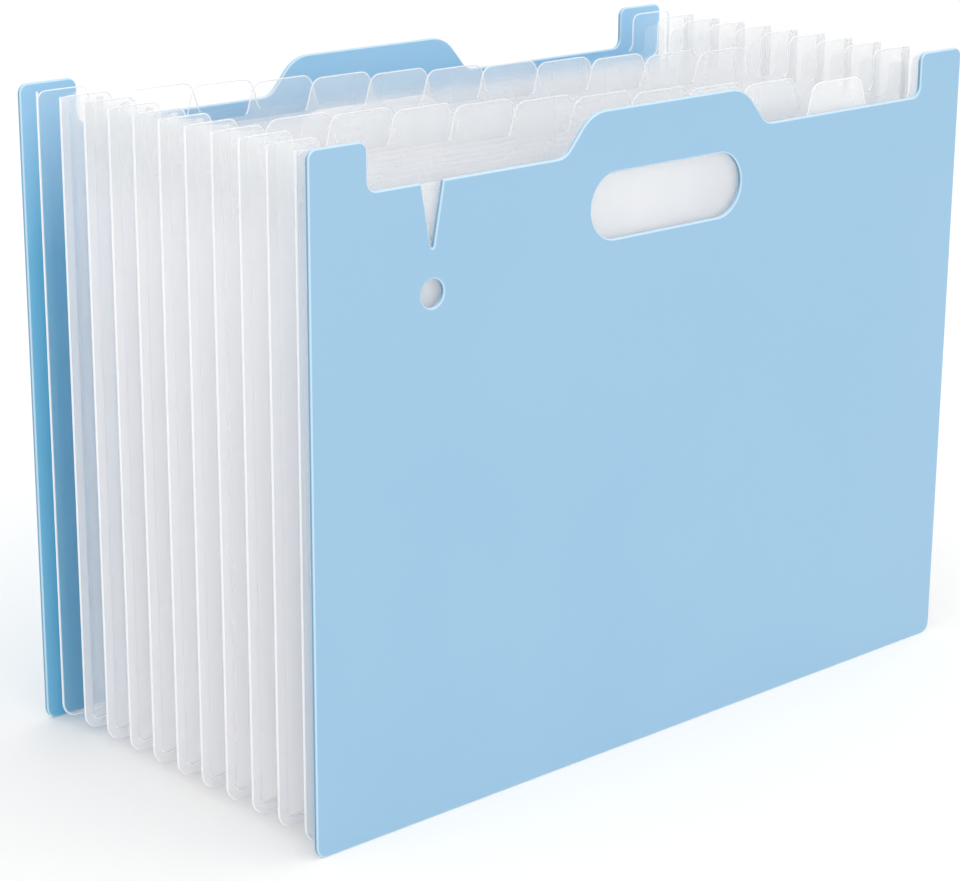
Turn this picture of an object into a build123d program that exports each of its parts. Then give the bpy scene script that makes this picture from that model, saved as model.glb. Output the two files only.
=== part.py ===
from build123d import *
import os
from math import hypot

# Accordion file folder, standing open on a table.
# Two stiff covers are joined by a bellows of clear film. Tabbed dividers stand between the covers,
# by turns wide and narrow. Round both sides and the bottom, a ribbon of film runs from the edge of each
# wide divider in to the edge of the narrow one beside it, so the bellows is pleated outwards at the wide
# dividers, and at each end its last ribbon is welded to the inside of a cover.
# X runs along the covers, Y from the front to the rear and Z up, in millimetres.
# The origin is the middle of the footprint, on the table.

# Covers
cover_width = 330.0
cover_thickness = 2.0
ear_height = 246.0
ear_width = 24.5
shoulder_drop = 17.0
cover_corner = 4.5
ear_corner = 3.5
ear_foot = 4.0

# Raised grip in the middle of each cover, with its hand slot
grip_rise = 14.5
grip_base_width = 103.0
grip_top_width = 78.0
grip_foot = 8.0
grip_round = 15.0
slot_length = 77.0
slot_height = 24.0
slot_drop = 34.5

# Closure notch and eyelet of the front cover
notch_from_ear = 28.0
notch_width = 9.8
notch_depth = 25.5
notch_tip = 0.7
notch_lip = 0.8
eyelet_drop = 38.0
eyelet_diameter = 10.0

# Bellows at the opening that the folder stands at
pleat_count = 11
pleat_depth = 10.5
pocket_pitch = 7.4

# Film dividers
divider_film = 0.4
film_inset = 2.5
film_lift = 2.5
film_corner = 6.0
film_ear_drop = 2.0
narrow_ear_drop = 8.0
divider_drop = 1.0

# Index tabs, in two rows that each step across the folder
tab_columns = 11
tab_height = 12.0
tab_base_width = 34.0
tab_top_width = 27.0
tab_round = 5.0
tab_foot = 2.5
tab_left_margin = 15.5
tab_right_margin = 6.5

# Ribbons
ribbon_film = 0.3
outer_weld = 3.5
inner_weld = 2.5
trim_margin = 15.0

# Places worked out from the sizes above
pocket_count = 2 * pleat_count
shoulder_height = ear_height - shoulder_drop
grip_height = shoulder_height + grip_rise
cover_half = cover_width / 2
ear_inner = cover_half - ear_width
film_half = cover_half - film_inset
film_ear_height = ear_height - film_ear_drop
divider_top = shoulder_height - divider_drop
stack_half = pocket_count * pocket_pitch / 2
notch_x = notch_from_ear - ear_inner
tab_first_x = tab_left_margin + tab_base_width / 2 - ear_inner
tab_last_x = ear_inner - tab_right_margin - tab_base_width / 2
tab_step = (tab_last_x - tab_first_x) / (tab_columns - 1)


def flat(corners):
    """Closed flat outline through corners given as (across, up, radius)."""
    points = [(across, up) for across, up, radius in corners]
    radii = [radius for across, up, radius in corners]
    return make_face(FilletPolyline(*points, radius=radii, close=True))


def upright(outline, rear_face, thickness):
    """An outline stood up as a sheet that reaches forwards from its rear face."""
    return extrude(Plane.XZ.offset(-rear_face) * outline, thickness)


def mirrored(corners):
    """The left-hand run of corners that matches a right-hand run."""
    return [(-across, up, radius) for across, up, radius in reversed(corners)]


def cover_outline(left_shoulder):
    """Cover with two ears, a raised grip and a hand slot; left_shoulder holds extra corners."""
    side = [
        (cover_half, 0, cover_corner),
        (cover_half, ear_height, ear_corner),
        (ear_inner, ear_height, ear_corner),
        (ear_inner, shoulder_height, ear_foot),
    ]
    grip = [
        (grip_base_width / 2, shoulder_height, grip_foot),
        (grip_top_width / 2, grip_height, grip_round),
    ]
    blank = flat(side + grip + mirrored(grip) + left_shoulder + mirrored(side))
    return blank - Pos(0, grip_height - slot_drop) * SlotOverall(slot_length, slot_height)


def front_cover():
    """Cover whose left shoulder has the closure notch, with the eyelet under it."""
    notch = [
        (notch_x + notch_width / 2, shoulder_height, notch_lip),
        (notch_x, shoulder_height - notch_depth, notch_tip),
        (notch_x - notch_width / 2, shoulder_height, notch_lip),
    ]
    eyelet = Pos(notch_x, shoulder_height - eyelet_drop) * Circle(eyelet_diameter / 2)
    return upright(cover_outline(notch) - eyelet, -stack_half, cover_thickness)


def rear_cover():
    """Plain cover behind the last pocket."""
    return upright(cover_outline([]), stack_half + cover_thickness, cover_thickness)


def is_wide(number):
    """Odd sheets are wide dividers, even ones are narrow; the covers count as sheets at both ends."""
    return number % 2 == 1


def sheet_place(number):
    """Depth of a divider's middle, or of a cover's inner face, counted from the rear cover."""
    return stack_half - number * pocket_pitch


def half_film(number):
    """Half of a divider's thickness; a cover is counted from its face."""
    return 0 if number in (0, pocket_count) else divider_film / 2


def tab_place(number):
    """Middle of a divider's tab: the rear row steps from left to right, then the front row does."""
    return tab_first_x + (number - 1) % tab_columns * tab_step


def divider(number):
    """Film sheet with an ear at each end and one index tab on its top edge."""
    inset = 0 if is_wide(number) else pleat_depth
    ear_top = film_ear_height - (0 if is_wide(number) else narrow_ear_drop)
    side = [
        (film_half - inset, film_lift + inset, film_corner if is_wide(number) else 0),
        (film_half - inset, ear_top, ear_corner),
        (ear_inner, ear_top, ear_corner),
        (ear_inner, divider_top, ear_foot if is_wide(number) else 0),
    ]
    half_tab = [
        (tab_base_width / 2, divider_top, tab_foot),
        (tab_top_width / 2, divider_top + tab_height, tab_round),
    ]
    middle = tab_place(number)
    tab = [(middle + across, up, radius) for across, up, radius in half_tab + mirrored(half_tab)]
    return upright(flat(side + tab + mirrored(side)), sheet_place(number) + divider_film / 2, divider_film)


def ribbon_frame(inset, corner=0):
    """Upright rectangle inside a wide divider's edge, taller than the film so that its top can be trimmed."""
    half = film_half - inset
    foot = film_lift + inset
    top = film_ear_height + trim_margin
    return flat([(half, foot, corner), (half, top, 0), (-half, top, 0), (-half, foot, corner)])


def leaning_panels(wide_face, narrow_face, wall):
    """Side, bottom and side panels, mitred at the corners, from the outer weld in to the inner weld."""
    hulls = []
    for inset in (0, wall):
        outer = Plane.XZ.offset(-wide_face) * ribbon_frame(outer_weld + inset)
        inner = Plane.XZ.offset(-narrow_face) * ribbon_frame(pleat_depth + inset)
        hulls.append(loft([outer, inner]))
    return hulls[0] - hulls[1]


def gusset(number):
    """Ribbon round one pocket: leaning panels between a weld strip on each of the two sheets."""
    rear_face = sheet_place(number - 1) - half_film(number - 1)
    front_face = sheet_place(number) + half_film(number)
    gap = rear_face - front_face
    wall = ribbon_film * hypot(pleat_depth - outer_weld, gap) / gap
    outer_strip = ribbon_frame(0, film_corner) - ribbon_frame(outer_weld + wall)
    inner_strip = ribbon_frame(pleat_depth) - ribbon_frame(pleat_depth + inner_weld)
    if is_wide(number):
        ribbon = leaning_panels(front_face, rear_face, wall)
        rear_strip, front_strip = inner_strip, outer_strip
    else:
        ribbon = leaning_panels(rear_face, front_face, wall)
        rear_strip, front_strip = outer_strip, inner_strip
    ribbon += upright(rear_strip, rear_face, ribbon_film)
    ribbon += upright(front_strip, front_face + ribbon_film, ribbon_film)
    above = Box(cover_width, 2 * pocket_pitch, 2 * trim_margin, align=(Align.CENTER, Align.CENTER, Align.MIN))
    return ribbon - Pos(0, (rear_face + front_face) / 2, film_ear_height) * above


parts = {"rear_cover": rear_cover(), "front_cover": front_cover()}
for number in range(1, pocket_count):
    parts[f"divider_{number:02d}"] = divider(number)
for number in range(1, pocket_count + 1):
    parts[f"gusset_{number:02d}"] = gusset(number)

os.makedirs("parts", exist_ok=True)
for name, shape in parts.items():
    export_step(shape, f"parts/{name}.step")
print(len(parts), "pieces; depth standing open", 2 * (stack_half + cover_thickness), "mm")
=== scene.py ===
# %% [markdown]
# # An accordion file folder
# The folder is two stiff blue covers with a stack of clear film dividers between them. Ribbons of the
# same film join the sheets round three sides, so that the stack pulls out like a bellows. The
# construction is loaded first as a fixed frame. Every surface below is laid over it at the same size and
# place.

# %% Load the frame
import bpy
import numpy as np
from mathutils import Matrix, Vector
from mathutils.geometry import tessellate_polygon


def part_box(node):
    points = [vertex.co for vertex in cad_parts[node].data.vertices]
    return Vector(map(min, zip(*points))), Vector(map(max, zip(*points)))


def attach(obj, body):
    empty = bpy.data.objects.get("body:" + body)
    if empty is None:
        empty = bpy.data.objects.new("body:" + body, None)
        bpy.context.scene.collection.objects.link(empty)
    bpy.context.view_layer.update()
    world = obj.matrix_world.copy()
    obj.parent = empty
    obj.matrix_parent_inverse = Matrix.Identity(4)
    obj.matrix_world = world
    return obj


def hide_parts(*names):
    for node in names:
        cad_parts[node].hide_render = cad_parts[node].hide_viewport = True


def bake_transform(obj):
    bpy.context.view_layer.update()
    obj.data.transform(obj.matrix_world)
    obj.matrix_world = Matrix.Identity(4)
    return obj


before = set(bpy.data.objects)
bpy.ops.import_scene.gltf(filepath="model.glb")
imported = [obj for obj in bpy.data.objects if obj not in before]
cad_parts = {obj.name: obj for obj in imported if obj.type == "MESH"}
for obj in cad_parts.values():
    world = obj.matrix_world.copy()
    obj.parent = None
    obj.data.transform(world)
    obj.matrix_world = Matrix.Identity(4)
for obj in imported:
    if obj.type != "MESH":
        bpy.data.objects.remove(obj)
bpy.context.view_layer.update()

# %% [markdown]
# ## Sizes
# Work is in millimetres, and a mesh is turned to metres as it is made. What a box can tell is read from
# the frame: how wide the sheets are and where each one stands. The cut-outs that a box can't show are
# written further on as the cutter's own sizes.

# %% Sizes
MM = 0.001


def node_box(node):
    """Lowest and highest corner of a node in millimetres."""
    return [np.array(corner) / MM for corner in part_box(node)]


front_low, front_high = node_box("front_cover")
rear_low, rear_high = node_box("rear_cover")
wide_low, wide_high = node_box("divider_01")
narrow_high = node_box("divider_02")[1]
pocket_count = sum(node.startswith("gusset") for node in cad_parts)
cover_half, ear_height = front_high[0], front_high[2]
film_half, film_lift, film_ear_height = wide_high[0], wide_low[2], wide_high[2]
pleat_depth = film_half - narrow_high[0]
divider_film = wide_high[1] - wide_low[1]
pitch = (rear_low[1] - front_high[1]) / pocket_count
print(pocket_count, "pockets at a pitch of", round(pitch, 2), "mm; pleats", round(pleat_depth, 2), "mm deep")


def is_wide(number):
    """Odd sheets are the wide ones, at the outer ridges."""
    return number % 2 == 1


def sheet_place(number):
    """Depth of a sheet's middle, counted from the rear cover's inner face."""
    return rear_low[1] - number * pitch


# %% [markdown]
# ## Finishes
# Colours are written as a painter would note them, in sRGB hex, and one function turns them to the linear
# values that a shader adds up in. One more function adds a node and joins it up, so that a material reads
# as a short list of what feeds what. A third stores a number at each point of a mesh, which a material
# can read.

# %% Colour and node helpers
# Numbers of the sockets on a Mix node that mixes colours
FACTOR, UNDER, OVER, MIXED = 0, 6, 7, 2


def linear(hex_colour):
    """sRGB hex to linear RGBA: below 0.04045 divide by 12.92, else raise (c + 0.055) / 1.055 to 2.4."""
    code = np.array([int(hex_colour[i:i + 2], 16) for i in (0, 2, 4)]) / 255
    light = np.where(code <= 0.04045, code / 12.92, ((code + 0.055) / 1.055) ** 2.4)
    return (*light, 1.0)


def add(tree, kind, inputs=(), **settings):
    """Adds a node, sets its properties, and gives each named or numbered input a value or a socket."""
    node = tree.nodes.new("ShaderNode" + kind)
    for name, value in settings.items():
        setattr(node, name, value)
    for name, value in dict(inputs).items():
        if isinstance(value, bpy.types.NodeSocket):
            tree.links.new(value, node.inputs[name])
        else:
            node.inputs[name].default_value = value
    return node


def new_material(name):
    """An empty material and its tree."""
    material = bpy.data.materials.new(name)
    material.use_nodes = True
    material.node_tree.nodes.clear()
    return material, material.node_tree


def show(tree, shader):
    """Joins a shader to the material's output."""
    add(tree, "OutputMaterial", {"Surface": shader})


def mark(piece, name, values):
    """Stores one number for each point of a mesh."""
    layer = piece.data.attributes.new(name, "FLOAT", "POINT")
    layer.data.foreach_set("value", values.astype(np.float32).ravel())


# %% [markdown]
# ### Polypropylene sheet, extruded and embossed
# The covers are cut from coloured polypropylene. It comes off embossing rollers with a very fine matt
# grain, so light spreads to a broad soft sheen. The grain is too fine to show, and is drawn at a coarser
# size.
#
# The outer face is a pale blue. The inner face carries painted shade: it is deeper, and pales towards the
# top and the side edges. The cut edge carries painted light and shade, pale where it faces up and a deep
# blue on the sides, and its rounded arris carries a painted highlight line. Attributes on the mesh say
# where each of these is.
#
# A blue this strong would tint the floor and the film beside it. Photographers set white cards there to
# stop that. Here the front cover does it itself: for light on its way to another surface, its colour is
# mixed with white. The plastic doesn't behave so, and what the eye sees of the cover stays as it is.

# %% Cover material
GRAIN_SIZE_MM = 0.9
GRAIN_DETAIL = 1.0
GRAIN_STRENGTH = 0.04
GRAIN_HEIGHT_MM = 0.02
TINT_SIZE_MM = 90.0
TINT_DETAIL = 2.0
MATT_LOW, MATT_HIGH = 0.36, 0.46
# Painted shade on the inner face: deeper inward from the side edges and down from the top
HEIGHT_SHADE_FROM, HEIGHT_SHADE_TO = 180.0, 236.0
SIDE_SHADE_FROM, SIDE_SHADE_TO = 154.0, 165.0
CARD_SHARE = 0.6
PLASTIC_IOR = 1.49
PER_METRE = 1.0 / MM
COVER_MARKS = ("cut_edge", "arris", "upward", "inner_face", "white_card")


def blue_sheet():
    """Two close blues clouded by slow noise. Over them lie painted shade on the inner face, painted light
    and shade on the cut edge and a painted highlight on the arris, each by its attribute, and a share of
    white for light that bounces on."""
    material, tree = new_material("polypropylene_sheet_embossed_blue")
    place = add(tree, "TexCoord").outputs["Object"]
    cloud, grain = (
        add(tree, "TexNoise", {"Vector": place, "Scale": PER_METRE / size, "Detail": detail})
        for size, detail in ((TINT_SIZE_MM, TINT_DETAIL), (GRAIN_SIZE_MM, GRAIN_DETAIL)))
    marks = {name: add(tree, "Attribute", attribute_name=name).outputs["Fac"] for name in COVER_MARKS}
    apart = add(tree, "SeparateXYZ", {"Vector": place})
    aside = add(tree, "Math", {0: apart.outputs["X"]}, operation="ABSOLUTE")
    # Painted shade on the inner face, deeper inward from the side edges and lower down
    side_shade = add(tree, "MapRange", {
        "Value": aside.outputs["Value"], "From Min": SIDE_SHADE_FROM * MM, "From Max": SIDE_SHADE_TO * MM})
    height_shade = add(tree, "MapRange", {
        "Value": apart.outputs["Z"], "From Min": HEIGHT_SHADE_FROM * MM, "From Max": HEIGHT_SHADE_TO * MM})
    bounced = add(tree, "LightPath").outputs["Is Diffuse Ray"]
    card = add(tree, "Math", {0: bounced, 1: marks["white_card"]}, operation="MULTIPLY")
    # The inner face's painted shade, from a deep blue to a pale one
    deep = add(tree, "Mix", {
        FACTOR: side_shade.outputs["Result"], UNDER: linear("50ABD3"), OVER: linear("7AC1E3"),
    }, data_type="RGBA")
    inside = add(tree, "Mix", {
        FACTOR: height_shade.outputs["Result"], UNDER: deep.outputs[MIXED], OVER: linear("9ACAEA"),
    }, data_type="RGBA")
    # Painted light and shade on the cut edge: pale where it faces up, a deep blue on the sides
    wall = add(tree, "Mix", {
        FACTOR: marks["upward"], UNDER: linear("6198B9"), OVER: linear("B9DCF1")}, data_type="RGBA")
    coats = (
        (cloud.outputs["Fac"], linear("96BED9")),
        (marks["inner_face"], inside.outputs[MIXED]),
        (marks["cut_edge"], wall.outputs[MIXED]),
        # Painted highlight along the arris
        (marks["arris"], linear("D3E8F6")),
        (card.outputs["Value"], linear("F2F4F6")),
    )
    colour = linear("90B9D6")
    for share, coat in coats:
        mix = add(tree, "Mix", {FACTOR: share, UNDER: colour, OVER: coat}, data_type="RGBA")
        colour = mix.outputs[MIXED]
    matt = add(tree, "MapRange", {"Value": grain.outputs["Fac"], "To Min": MATT_LOW, "To Max": MATT_HIGH})
    bump = add(tree, "Bump", {
        "Height": grain.outputs["Fac"], "Strength": GRAIN_STRENGTH, "Distance": GRAIN_HEIGHT_MM * MM})
    shader = add(tree, "BsdfPrincipled", {
        "Base Color": colour, "Roughness": matt.outputs["Result"], "Normal": bump.outputs["Normal"],
        "IOR": PLASTIC_IOR})
    show(tree, shader.outputs["BSDF"])
    return material


cover_finish = blue_sheet()
print(cover_finish.name)

# %% [markdown]
# ### Polypropylene film, cast and clear
# The dividers and ribbons are thin clear film. One layer hardly hides what is behind it, but each adds a
# little milkiness, and a stack of them turns white. Where two layers are welded the film is cloudier, and
# at a cut edge light is caught and the film shows as a bright line. One function makes all of them from
# how much one face of the film hides.
#
# Two attributes on each mesh do the rest. One is called haze. It holds the faint upright streaks of the
# casting roller, and is low beside the rear cover, where the blue shows through. The other is painted
# shade that turns the film a touch greyer near its top. They are worked out on the mesh and not by
# noise in the material, because a light path crosses dozens of layers and reads them all.

# %% Film materials
FILM_ROUGHNESS = 0.28
DIVIDER_HIDES = 0.26
RIBBON_HIDES = 0.2
WELD_HIDES = 0.42
SEAL_HIDES = 0.9
BEAD_HIDES = 0.7


def film(name, hides):
    """Clear film whose alpha is what one face hides times the haze attribute, greyer by painted shade near
    its top.
    """
    material, tree = new_material(name)
    haze = add(tree, "Attribute", attribute_name="haze")
    # Painted shade near the top of the film
    top_shade = add(tree, "Attribute", attribute_name="top_shade")
    alpha = add(tree, "Math", {0: haze.outputs["Fac"], 1: hides}, operation="MULTIPLY", use_clamp=True)
    colour = add(tree, "Mix", {
        FACTOR: top_shade.outputs["Fac"], UNDER: linear("FEFEFF"), OVER: linear("F6F7F8")}, data_type="RGBA")
    shader = add(tree, "BsdfPrincipled", {
        "Base Color": colour.outputs[MIXED], "Roughness": FILM_ROUGHNESS, "Alpha": alpha.outputs["Value"],
        "IOR": PLASTIC_IOR})
    show(tree, shader.outputs["BSDF"])
    return material


divider_finish = film("polypropylene_film_cast_clear", DIVIDER_HIDES)
ribbon_finish = film("polypropylene_film_creased", RIBBON_HIDES)
weld_finish = film("polypropylene_film_welded", WELD_HIDES)
seal_finish = film("polypropylene_film_cut_edge", SEAL_HIDES)
bead_finish = film("polypropylene_film_die_cut_bead", BEAD_HIDES)
print(divider_finish.name, ribbon_finish.name, weld_finish.name, seal_finish.name, bead_finish.name)

# %% [markdown]
# ## Outlines and grids
# A sheet starts as a few corners, each with the radius that the cutter's die has there. Every corner
# becomes an arc, worked out for all corners at once. Meshes are made from whole arrays: points in
# millimetres and faces by index.

# %% Outline and mesh helpers
CORNER_STEPS = 7
SAME_POINT = 1e-6


def unit(vectors):
    """Vectors scaled to a length of one."""
    return vectors / np.linalg.norm(vectors, axis=-1, keepdims=True)


def rounded(corners, steps=CORNER_STEPS):
    """Outline through corners (across, up, radius). An arc starts and ends radius over the tangent of half
    the corner's angle along its sides. Its centre is on the bisector, radius over that half's sine away."""
    corner = np.array(corners, float)
    point, radius = corner[:, :2], corner[:, 2:]
    back, ahead = unit(np.roll(point, 1, 0) - point), unit(np.roll(point, -1, 0) - point)
    half = np.arccos(np.sum(back * ahead, 1, keepdims=True)) / 2
    centre = point + unit(back + ahead) * radius / np.sin(half)
    start = point + back * radius / np.tan(half) - centre
    end = point + ahead * radius / np.tan(half) - centre
    turn = np.pi - 2 * half[:, None]
    along = np.linspace(0, 1, steps)[None, :, None]
    swing = start[:, None] * np.sin((1 - along) * turn) + end[:, None] * np.sin(along * turn)
    arcs = centre[:, None] + swing / np.sin(turn)
    run = arcs.reshape(-1, 2)
    apart = np.linalg.norm(run - np.roll(run, 1, 0), axis=1) > SAME_POINT
    return run[apart]


def mirrored(corners):
    """The left-hand run of corners that matches a right-hand run."""
    return [(-across, up, radius) for across, up, radius in reversed(corners)]


def new_piece(name, points, faces, materials, slots=None):
    """A mesh object from an array of points in millimetres and an array or list of faces."""
    mesh = bpy.data.meshes.new(name)
    mesh.from_pydata(np.asarray(points, float).reshape(-1, 3) * MM, [], faces)
    for material in materials:
        mesh.materials.append(material)
    if slots is not None:
        mesh.polygons.foreach_set("material_index", np.asarray(slots, np.int32).ravel())
    mesh.update()
    piece = bpy.data.objects.new(name, mesh)
    bpy.context.scene.collection.objects.link(piece)
    return piece


def grid_faces(rows, columns):
    """Quads of a grid of points stored row by row."""
    corner = np.arange(rows * columns).reshape(rows, columns)
    quads = np.stack([corner[:-1, :-1], corner[:-1, 1:], corner[1:, 1:], corner[1:, :-1]], -1)
    return quads.reshape(-1, 4)


# %% [markdown]
# ## Covers
# Each cover is one flat sheet with two ears, a raised grip with a hand slot, and on the front a notch and
# an eyelet for a closure. A Bevel modifier could round its edges, but here a rounded edge profile is
# carried along the outline and along each hole, so that the edge catches a clean line of light. The two
# flat faces are then filled between the loops.

# %% Cover sizes
EAR_WIDTH = 24.5
SHOULDER_DROP = 17.0
COVER_CORNER = 4.5
EAR_CORNER = 3.5
EAR_FOOT = 4.0
GRIP_RISE = 14.5
GRIP_BASE_WIDTH = 103.0
GRIP_TOP_WIDTH = 78.0
GRIP_FOOT = 8.0
GRIP_ROUND = 15.0
SLOT_LENGTH = 77.0
SLOT_HEIGHT = 24.0
SLOT_DROP = 34.5
SLOT_STEPS = 14
SLOT_FULLNESS = 0.999
NOTCH_FROM_EAR = 28.0
NOTCH_WIDTH = 9.8
NOTCH_DEPTH = 25.5
NOTCH_TIP = 0.7
NOTCH_LIP = 0.8
EYELET_DROP = 38.0
EYELET_RADIUS = 5.0
EYELET_STEPS = 40
EDGE_ROUND = 0.7
EDGE_STEPS = 4
NO_AREA = 1e-9

shoulder = ear_height - SHOULDER_DROP
grip_top = shoulder + GRIP_RISE
ear_inner = cover_half - EAR_WIDTH
notch_x = NOTCH_FROM_EAR - ear_inner
print("shoulder at", round(shoulder, 1), "mm, grip top at", round(grip_top, 1), "mm")


# %% Cover outlines
def cover_outline(left_shoulder):
    """Cover's corners, anticlockwise from the bottom right; left_shoulder holds extra corners."""
    side = [
        (cover_half, 0, COVER_CORNER),
        (cover_half, ear_height, EAR_CORNER),
        (ear_inner, ear_height, EAR_CORNER),
        (ear_inner, shoulder, EAR_FOOT),
    ]
    grip = [(GRIP_BASE_WIDTH / 2, shoulder, GRIP_FOOT), (GRIP_TOP_WIDTH / 2, grip_top, GRIP_ROUND)]
    return rounded(side + grip + mirrored(grip) + left_shoulder + mirrored(side))


def hand_slot():
    """Clockwise slot, so that its outward side is the hole. Its ends are all but half circles, so that the
    two arcs of an end don't share a point."""
    reach, rise = SLOT_LENGTH / 2, SLOT_HEIGHT / 2
    middle = grip_top - SLOT_DROP
    turns = ((-1, -1), (-1, 1), (1, 1), (1, -1))
    corners = [(across * reach, middle + up * rise, rise * SLOT_FULLNESS) for across, up in turns]
    return rounded(corners, SLOT_STEPS)


def eyelet_hole():
    """Clockwise circle under the notch."""
    angle = -np.linspace(0, 2 * np.pi, EYELET_STEPS, endpoint=False)
    centre = np.array([notch_x, shoulder - EYELET_DROP])
    return centre + EYELET_RADIUS * np.stack([np.cos(angle), np.sin(angle)], 1)


notch = [
    (notch_x + NOTCH_WIDTH / 2, shoulder, NOTCH_LIP),
    (notch_x, shoulder - NOTCH_DEPTH, NOTCH_TIP),
    (notch_x - NOTCH_WIDTH / 2, shoulder, NOTCH_LIP),
]


# %% Rounded edge
def edge_rows(thickness):
    """Rounded edge from the front face to the rear: inset, depth, outward and rearward lean of each row."""
    lean = np.linspace(0, np.pi / 2, EDGE_STEPS)
    inset = EDGE_ROUND * (1 - np.sin(lean))
    depth = EDGE_ROUND * (1 - np.cos(lean)) - thickness / 2
    front = np.stack([inset, depth, np.sin(lean), -np.cos(lean)], 1)
    return np.concatenate([front, front[::-1] * (1, -1, 1, -1)])


def rim(loop, profile):
    """Edge profile carried round a loop: points and normals, row by row, set in along the loop's normal."""
    side = unit(loop - np.roll(loop, 1, 0)) + unit(np.roll(loop, -1, 0) - loop)
    outward = unit(np.stack([side[:, 1], -side[:, 0]], 1))
    flat = loop[None] - profile[:, 0, None, None] * outward[None]
    depth = np.broadcast_to(profile[:, 1, None], flat.shape[:2])
    points = np.stack([flat[..., 0], depth, flat[..., 1]], -1)
    away = profile[:, 2, None, None] * outward[None]
    lean = np.broadcast_to(profile[:, 3, None], flat.shape[:2])
    return points, np.stack([away[..., 0], lean, away[..., 1]], -1)


def fill(points, rings, facing):
    """Triangles between an outline and its holes. Those that turn the wrong way for the side they face are
    reversed, and those without area are dropped."""
    flat = [(points[ring][:, [0, 2, 1]] * (1, 1, 0)).tolist() for ring in rings]
    triangles = np.concatenate(rings)[np.array(tessellate_polygon(flat))]
    a, b, c = (points[triangles[:, i]][:, [0, 2]] for i in range(3))
    turn = (b - a)[:, 0] * (c - a)[:, 1] - (b - a)[:, 1] * (c - a)[:, 0]
    triangles = np.where((turn * facing > 0)[:, None], triangles[:, ::-1], triangles)
    return triangles[np.abs(turn) > NO_AREA].tolist()


# %% Cover plate
def cover_plate(name, loops, low, high, inner):
    """Plate between two depths, bounded by an outline and its holes; inner is what its inner face looks to.
    The cut edge is the square of the outward lean, the arris the square of the sine of twice the lean."""
    profile = edge_rows(high - low)
    rows = len(profile)
    # Where the inner face's painted shade goes
    inside = np.linspace(0, 1, rows) if inner == "rear" else np.linspace(1, 0, rows)
    # The arris, where a highlight is painted
    arris = (2 * profile[:, 2] * profile[:, 3]) ** 2
    points, normals, faces, front, rear, first = [], [], [], [], [], 0
    marks = {"cut_edge": [], "arris": [], "upward": [], "inner_face": []}
    for loop in loops:
        grid, lean = rim(loop, profile)
        count = len(loop)
        index = first + np.arange(rows * count).reshape(rows, count)
        ahead = np.roll(index, -1, 1)
        quads = np.stack([index[:-1], index[1:], ahead[1:], ahead[:-1]], -1)
        faces += quads.reshape(-1, 4).tolist()
        points.append(grid.reshape(-1, 3))
        normals.append(lean.reshape(-1, 3))
        marks["cut_edge"].append(np.repeat(profile[:, 2] ** 2, count))
        marks["arris"].append(np.repeat(arris, count))
        # How far the cut edge faces up, for its painted light and shade
        marks["upward"].append(np.tile(np.clip(lean[rows // 2, :, 2], 0, 1), rows))
        marks["inner_face"].append(np.repeat(inside, count))
        front.append(index[0])
        rear.append(index[-1])
        first += rows * count
    points = np.concatenate(points) + (0, (low + high) / 2, 0)
    marks["white_card"] = [np.full(len(points), CARD_SHARE if inner == "rear" else 0.0)]
    faces += fill(points, front, -1) + fill(points, rear, 1)
    piece = new_piece(name, points, faces, [cover_finish])
    piece.data.polygons.foreach_set("use_smooth", np.ones(len(piece.data.polygons), bool))
    piece.data.normals_split_custom_set_from_vertices(np.concatenate(normals))
    for mark_name, values in marks.items():
        mark(piece, mark_name, np.concatenate(values))
    return piece


# %% Make the covers
front_loops = [cover_outline(notch), hand_slot(), eyelet_hole()]
rear_loops = [cover_outline([]), hand_slot()]
front_sheet = cover_plate("front_cover_sheet", front_loops, front_low[1], front_high[1], "rear")
rear_sheet = cover_plate("rear_cover_sheet", rear_loops, rear_low[1], rear_high[1], "front")
for piece, node in ((front_sheet, "front_cover"), (rear_sheet, "rear_cover")):
    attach(piece, node + "_body")
    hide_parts(node)
    print(piece.name, len(piece.data.polygons), "faces")

# %% [markdown]
# ## Dividers
# A divider is film cut with an ear at each end and one index tab. Its top edge is a run of corners from
# left to right. Columns of points hang from that run down to the bottom edge, so one grid covers the
# whole sheet and can still be bent. A Solidify modifier gives the film its thickness. The die leaves a
# fine bright edge, which is a round bead along the tab, and along the ears of a wide sheet. The front
# sheet is free to belly forwards until it nearly meets the front cover, so it shows close behind the slot
# and the notch.

# %% Divider sizes
DIVIDER_DROP = 1.0
FILM_CORNER = 6.0
EDGE_DRAFT = 0.2
TAB_HEIGHT = 12.0
TAB_BASE_WIDTH = 34.0
TAB_TOP_WIDTH = 27.0
TAB_ROUND = 5.0
TAB_FOOT = 2.5
TAB_COLUMNS = 11
TAB_LEFT_MARGIN = 15.5
TAB_RIGHT_MARGIN = 6.5
TAB_LEAN = 0.5
FRONT_BELLY = 6.4
BELLY_FLATNESS = 8
FRONT_LAYERS = 1.2
EDGE_BEAD = 0.27
BEAD_SIDES = 8
SHEET_ROWS = 12
HEAD_ROWS = 5
HEAD_DROP = 4.0
SHEET_COLUMNS = 40

divider_top = shoulder - DIVIDER_DROP
tab_first = TAB_LEFT_MARGIN + TAB_BASE_WIDTH / 2 - ear_inner
tab_last = ear_inner - TAB_RIGHT_MARGIN - TAB_BASE_WIDTH / 2
tab_step = (tab_last - tab_first) / (TAB_COLUMNS - 1)
print("tabs step by", round(tab_step, 2), "mm")


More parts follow.
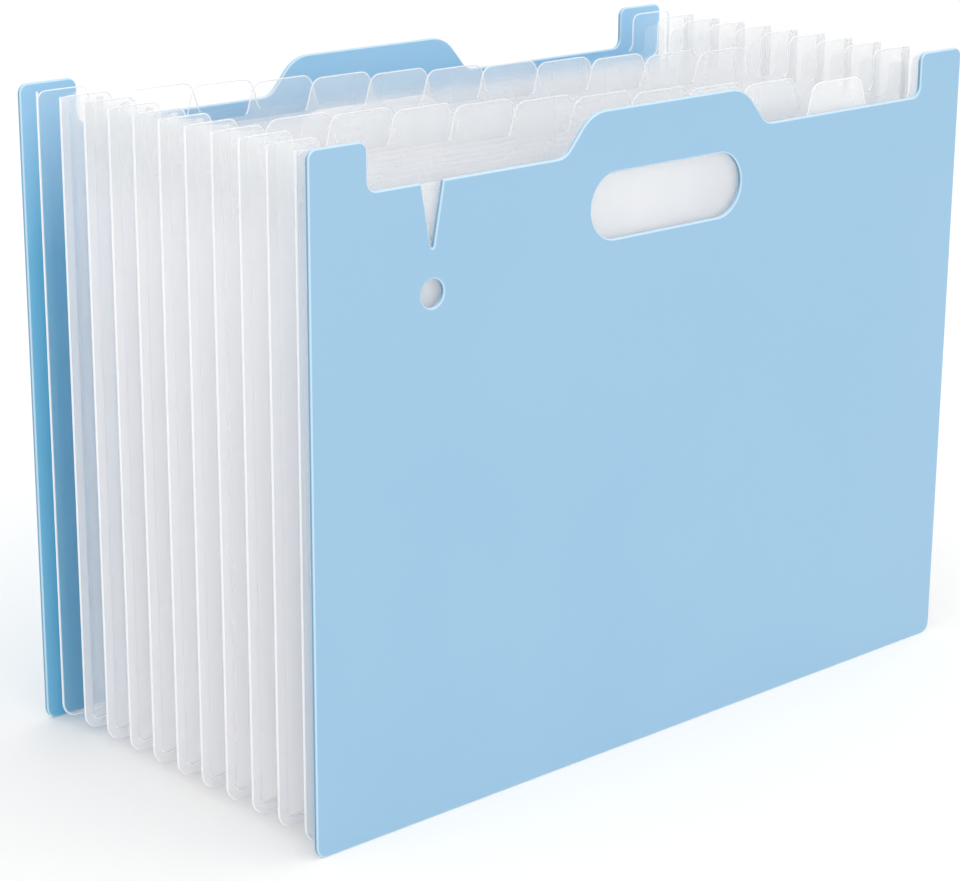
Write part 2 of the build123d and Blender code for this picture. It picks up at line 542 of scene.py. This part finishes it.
# %% Divider outline
def divider_run(number, high):
    """Side and top edges of a divider, from its bottom left corner over the ears and the tab."""
    middle = tab_first + (number - 1) % TAB_COLUMNS * tab_step
    half_tab = [
        (TAB_BASE_WIDTH / 2, divider_top, TAB_FOOT),
        (TAB_TOP_WIDTH / 2, divider_top + TAB_HEIGHT, TAB_ROUND),
    ]
    corners = mirrored(half_tab)[::-1] + half_tab[::-1]
    tab = [(middle + across, up, radius) for across, up, radius in corners]
    ear = [
        (high[0], film_lift, 0),
        (high[0], high[2], EAR_CORNER),
        (ear_inner + EDGE_DRAFT, high[2], EAR_CORNER),
        (ear_inner, divider_top, EAR_FOOT),
    ]
    left_ear = [(-across, up, radius) for across, up, radius in ear]
    return rounded(left_ear + tab + ear[::-1])[1:-1]


def divider_depth(number, across, up):
    """Depth of a divider: its place, a tab's lean by the square of its share of height, and on the front
    sheet a belly that fades by a high power of the width and rises by a smooth step of the height."""
    share = np.clip((up - divider_top) / TAB_HEIGHT, 0, 1)
    lean = TAB_LEAN * np.sin(number) * share ** 2 * (np.abs(across) < ear_inner)
    rise = np.clip((up - film_lift) / (divider_top - film_lift), 0, 1)
    belly = (1 - (across / film_half) ** BELLY_FLATNESS) * rise ** 2 * (3 - 2 * rise)
    return sheet_place(number) + lean - FRONT_BELLY * belly * (number == pocket_count - 1)


# %% Divider sheet
def divider_sheet(number):
    """Grid between a bottom edge and a top edge: each column rises in equal steps to a line under the tabs,
    and in equal steps from there to the top edge."""
    low, high = node_box(f"divider_{number:02d}")
    run = divider_run(number, high)
    across = np.unique(np.concatenate([run[:, 0], np.linspace(low[0], high[0], SHEET_COLUMNS)]))
    top = np.interp(across, run[:, 0], run[:, 1])
    corner = FILM_CORNER if is_wide(number) else 0
    over = np.maximum(np.abs(across) - (high[0] - corner), 0)
    bottom = low[2] + corner - np.sqrt(np.maximum(corner ** 2 - over ** 2, 0))
    body = np.linspace(0, 1, SHEET_ROWS)[:, None]
    head = np.linspace(0, 1, HEAD_ROWS)[1:, None]
    neck = divider_top - HEAD_DROP
    up = np.concatenate([bottom + body * (neck - bottom), neck + head * (top - neck)])
    depth = divider_depth(number, across, up)
    return np.stack([np.broadcast_to(across, up.shape), depth, up], -1)


def raised_runs(number):
    """Stretches of the edge above a divider's straight top that get a bead: tab, and ears if it is wide."""
    run = divider_run(number, node_box(f"divider_{number:02d}")[1])
    above = run[:, 1] > divider_top + EDGE_BEAD
    breaks = np.flatnonzero(np.diff(above.astype(int))) + 1
    runs = [part for part in np.split(run, breaks) if part[0, 1] > divider_top + EDGE_BEAD]
    if is_wide(number):
        return dict(zip(("left_ear", "tab", "right_ear"), runs))
    return {"tab": runs[1]}


def thicken(piece, thickness, rim_slot):
    """Solidify the film both ways from its middle, with the finish of the slot that far along on its rim."""
    solid = piece.modifiers.new("film_thickness", "SOLIDIFY")
    solid.thickness = thickness * MM
    solid.offset = 0.0
    solid.material_offset_rim = rim_slot


# %% Haze of the film
BROAD_STREAK, BROAD_AMOUNT = 61.0, 0.03
FINE_STREAK, FINE_AMOUNT = 27.0, 0.02
CLEAR_FROM = 9.0
CLEAR_REACH = 22.0
CLEAR_SHEET = 0.15
CLEAR_RIBBON = 0.04
CLEAR_BEAD = 1.0
# How far below the dividers' top edge the painted top shade starts
TOP_SHADE_REACH = 26.0


def add_haze(piece, points, number, clear, layers=1.0):
    """Haze is 1 and two sine waves across the film, times a smooth step of the distance from the rear cover,
    times how many layers lie together. The painted top shade rises in a straight line up to the dividers'
    top edge, and is 0 on a bead."""
    broad = BROAD_AMOUNT * np.sin(2 * np.pi * points[..., 0] / BROAD_STREAK + number)
    fine = FINE_AMOUNT * np.sin(2 * np.pi * points[..., 0] / FINE_STREAK + 2 * number)
    away = np.clip((rear_low[1] - points[..., 1] - CLEAR_FROM) / CLEAR_REACH, 0, 1)
    milky = clear + (1 - clear) * away ** 2 * (3 - 2 * away)
    # Painted shade that greys the film towards its top
    rise = np.clip(1 + (points[..., 2] - divider_top) / TOP_SHADE_REACH, 0, 1)
    mark(piece, "haze", layers * milky * (1 + broad + fine))
    mark(piece, "top_shade", rise * (clear < CLEAR_BEAD))


# %% Bead along an edge
def edge_bead(name, run, number, radius):
    """Round bead along an edge: a circle carried along it, square to it in the sheet's plane, and capped."""
    ahead = unit(np.gradient(run, axis=0))
    angle = np.linspace(0, 2 * np.pi, BEAD_SIDES, endpoint=False)[None, :]
    out = radius * np.cos(angle)
    across = run[:, :1] - out * ahead[:, 1:]
    up = run[:, 1:] + out * ahead[:, :1]
    bend = divider_depth(number, run[:, :1], run[:, 1:])
    tube = np.stack([across, bend + radius * np.sin(angle), up], -1)
    corner = np.arange(len(run) * BEAD_SIDES).reshape(-1, BEAD_SIDES)
    beside = np.roll(corner, -1, 1)
    quads = np.stack([corner[:-1], beside[:-1], beside[1:], corner[1:]], -1).reshape(-1, 4)
    faces = quads.tolist() + [corner[0, ::-1].tolist(), corner[-1].tolist()]
    bead = new_piece(name, tube, faces, [bead_finish])
    add_haze(bead, tube, number, CLEAR_BEAD)
    return bead


# %% [markdown]
# ### How the film is held
# The front cover and the rear cover are the two ends of the pull, and each sheet moves by its share of
# it. The ribbons and the front sheet are not blended between the two covers here: their place is baked
# into their mesh, and they ride on no body. The first ribbon lies between two bodies that one joint joins.


def blend_film(piece, number, rear, front):
    """Bakes the film's place into its mesh; it does not bend it. Rear and front are not used."""
    if number == 1:
        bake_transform(piece)
        return
    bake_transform(piece)


def hold(piece, number):
    """A divider's piece rides on its body; the front sheet's place is baked into its mesh, on no body."""
    if number == pocket_count - 1:
        blend_film(piece, pocket_count, sheet_place(number), sheet_place(pocket_count))
    else:
        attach(piece, f"divider_{number:02d}_body")


# %% Make the dividers
for number in range(1, pocket_count):
    grid = divider_sheet(number)
    faces = grid_faces(*grid.shape[:2])
    piece = new_piece(f"divider_{number:02d}_film", grid, faces, [divider_finish])
    front = (number == pocket_count - 1) & (grid[..., 2] < divider_top - HEAD_DROP / 2)
    add_haze(piece, grid, number, CLEAR_SHEET, np.where(front, FRONT_LAYERS, 1.0))
    thicken(piece, divider_film, 0)
    hold(piece, number)
    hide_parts(f"divider_{number:02d}")
    for place, run in raised_runs(number).items():
        bead = edge_bead(f"divider_{number:02d}_{place}_edge", run, number, EDGE_BEAD)
        hold(bead, number)
print(pocket_count - 1, "dividers of about", len(faces), "faces")

# %% [markdown]
# ## Ribbons of the bellows
# Each ribbon is a strip of film bent round the sides and the bottom of one pocket. Across the strip its
# profile is a flat weld on the wide sheet, a leaning panel, and a flat weld on the narrow sheet. That
# profile is carried along a path shaped like a U. Under the folder the outer weld ends in a bright seal
# line.

# %% Ribbon sizes
RIBBON_FILM = 0.3
WELD_GAP = 0.02
OUTER_WELD = 3.5
SEAL_LINE = 0.5
INNER_WELD = 2.5
RIDGE_BEAD = 0.42
TIGHT_CORNER = 0.25
SIDE_STEPS = 14
ARC_STEPS = 7
FLOOR_STEPS = 12
WELD_ROWS = 3
PANEL_ROWS = 5
WELD_SLOT = 1
SEAL_SLOT = 2


# %% Ribbon path
def ribbon_path(inset):
    """Path round the pocket for each inset: down the left side, round the corner to the middle, mirrored."""
    half, foot = film_half - inset, film_lift + inset
    corner = np.maximum(FILM_CORNER - inset, TIGHT_CORNER)
    down = np.linspace(0, 1, SIDE_STEPS)[None, :-1]
    turn = np.linspace(0, np.pi / 2, ARC_STEPS)[None]
    over = np.linspace(0, 1, FLOOR_STEPS)[None, 1:]
    side = [-half + 0 * down, film_ear_height + (foot + corner - film_ear_height) * down]
    arc = [corner * (1 - np.cos(turn)) - half, foot + corner * (1 - np.sin(turn))]
    floor = [(corner - half) * (1 - over), foot + 0 * over]
    across, up = (np.concatenate(run, 1) for run in zip(side, arc, floor))
    return np.concatenate([across, -across[:, -2::-1]], 1), np.concatenate([up, up[:, -2::-1]], 1)


def half_film(number):
    """Half of a divider's thickness; a cover is counted from its face."""
    return 0 if number in (0, pocket_count) else divider_film / 2


def weld_depths(number):
    """Depth of the middle of a ribbon's film where it lies on the sheet behind it and on the sheet ahead."""
    rear = sheet_place(number - 1) - half_film(number - 1) - RIBBON_FILM / 2
    return rear, sheet_place(number) + half_film(number) + RIBBON_FILM / 2


# %% Ribbon surface
def ribbon(number):
    """Profile by path: share is 0 along the outer weld, rises to 1 over the panel, and stays 1 on the inner
    weld. The strips where it stays the same are welds."""
    rear, front = weld_depths(number)
    wide, narrow = (front, rear) if is_wide(number) else (rear, front)
    weld = np.append(np.linspace(0, OUTER_WELD - SEAL_LINE, WELD_ROWS), OUTER_WELD)
    panel = np.linspace(OUTER_WELD, pleat_depth, PANEL_ROWS)[1:]
    seam = np.linspace(pleat_depth, pleat_depth + INNER_WELD, WELD_ROWS)[1:]
    inset = np.concatenate([weld, panel, seam])[:, None]
    share = np.clip((inset - OUTER_WELD) / (pleat_depth - OUTER_WELD), 0, 1)
    across, up = ribbon_path(inset)
    depth = np.broadcast_to(wide + share * (narrow - wide), across.shape)
    points = np.stack([across, depth, up], -1)
    slots = WELD_SLOT * np.repeat((share[:-1] == share[1:]).astype(int), across.shape[1] - 1, axis=1)
    slots[WELD_ROWS - 1, SIDE_STEPS:-SIDE_STEPS] = SEAL_SLOT
    return points if is_wide(number) else points[:, ::-1], slots


# %% Make the ribbons
ribbon_finishes = [ribbon_finish, weld_finish, seal_finish]
for number in range(1, pocket_count + 1):
    grid, slots = ribbon(number)
    rows, columns = grid.shape[:2]
    piece = new_piece(f"gusset_{number:02d}_film", grid, grid_faces(rows, columns), ribbon_finishes, slots)
    add_haze(piece, grid, number, CLEAR_RIBBON)
    thicken(piece, RIBBON_FILM - 2 * WELD_GAP, WELD_SLOT)
    blend_film(piece, number, *weld_depths(number))
    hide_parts(f"gusset_{number:02d}")
print(pocket_count, "ribbons of", rows, "by", columns, "points")

# %% [markdown]
# Where two ribbons and a wide sheet are welded edge to edge, the weld leaves a fine round bead. It runs
# down one side, under the sheet and up the other, and is the bright line of each ridge.

# %% Ridge beads
across, up = ribbon_path(np.zeros((1, 1)))
ridge = np.stack([across[0], up[0]], 1)
wide_numbers = range(1, pocket_count, 2)
for number in wide_numbers:
    bead = edge_bead(f"divider_{number:02d}_ridge", ridge, number, RIDGE_BEAD)
    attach(bead, f"divider_{number:02d}_body")
print(len(wide_numbers), "ridges of", len(ridge), "rings")

# %% [markdown]
# ## Floor, light and camera
# The folder stands on a plain matt white floor. Seen directly, the surroundings are plain white. The
# light on the folder is a sky that is brightest at the front and a little above it, as before one very
# large softbox, so that shadows are soft. There are no lamps.

# %% Floor
FLOOR_HALF = 4000.0
floor_corners = np.array([(-1, -1, 0), (1, -1, 0), (1, 1, 0), (-1, 1, 0)]) * FLOOR_HALF
floor_finish, floor_tree = new_material("studio_floor_matt_white")
show(floor_tree, add(floor_tree, "BsdfDiffuse", {"Color": linear("FAFAF9")}).outputs["BSDF"])
floor = new_piece("floor", floor_corners, [(0, 1, 2, 3)], [floor_finish])
print("floor", 2 * FLOOR_HALF * MM, "m across")

# %% Light
SKY_LOW, SKY_HIGH = 0.84, 1.31
BRIGHT_SIDE = (0.0, -0.95, 0.3)
WHITE = linear("FFFFFF")
scene = bpy.context.scene
world = scene.world or bpy.data.worlds.new("studio")
scene.world = world
world.use_nodes = True
world.cycles.sampling_method = "NONE"
sky = world.node_tree
sky.nodes.clear()
path = add(sky, "LightPath")
seen = path.outputs["Is Camera Ray"]
for ray in ("Is Glossy Ray", "Is Transmission Ray"):
    seen = add(sky, "Math", {0: seen, 1: path.outputs[ray]}, operation="MAXIMUM").outputs["Value"]
towards = add(sky, "VectorMath", {
    0: add(sky, "TexCoord").outputs["Generated"], 1: BRIGHT_SIDE}, operation="DOT_PRODUCT")
level = add(sky, "MapRange", {
    "Value": towards.outputs["Value"], "From Min": -1.0, "To Min": SKY_LOW, "To Max": SKY_HIGH})
lit = add(sky, "Background", {"Color": WHITE, "Strength": level.outputs["Result"]})
plain = add(sky, "Background", {"Color": WHITE, "Strength": 1.0})
both = add(sky, "MixShader", {0: seen, 1: lit.outputs["Background"], 2: plain.outputs["Background"]})
add(sky, "OutputWorld", {"Surface": both.outputs["Shader"]})
print("sky from", SKY_LOW, "to", SKY_HIGH)

# %% [markdown]
# The camera stands to the left of the front cover, a little above it, with a long lens, so that upright
# edges draw together only slightly towards the floor. A light path through the stack meets many films, so
# it is let bounce often. With few bounces the stack would turn dark.

# %% Camera
CAMERA_PLACE = (-687.1, -737.2, 405.9)
CAMERA_YAW = 42.362
CAMERA_PITCH = 16.998
CAMERA_ROLL = 0.296
CAMERA_LENS = 100.59
SENSOR_WIDTH = 36.0
BOUNCES = {"max_bounces": 64, "diffuse_bounces": 48, "glossy_bounces": 24, "transparent_max_bounces": 128}

yaw, tilt, roll = np.radians([CAMERA_YAW, CAMERA_PITCH, CAMERA_ROLL])
ahead = np.array([np.sin(yaw) * np.cos(tilt), np.cos(yaw) * np.cos(tilt), -np.sin(tilt)])
beside = np.array([np.cos(yaw), -np.sin(yaw), 0])
upright = np.cross(beside, ahead)
right = beside * np.cos(roll) + upright * np.sin(roll)
above = upright * np.cos(roll) - beside * np.sin(roll)
camera = bpy.data.objects.new("camera", bpy.data.cameras.new("camera"))
turn = Matrix(np.stack([right, above, -ahead], 1)).to_4x4()
camera.matrix_world = Matrix.Translation(Vector(CAMERA_PLACE) * MM) @ turn
camera.data.lens = CAMERA_LENS
camera.data.sensor_width = SENSOR_WIDTH
scene.collection.objects.link(camera)
scene.camera = camera
scene.view_settings.view_transform = "Standard"
for limit, count in BOUNCES.items():
    setattr(scene.cycles, limit, count)
print("lens", CAMERA_LENS, "mm")

# %% Update the scene
bpy.context.view_layer.update()
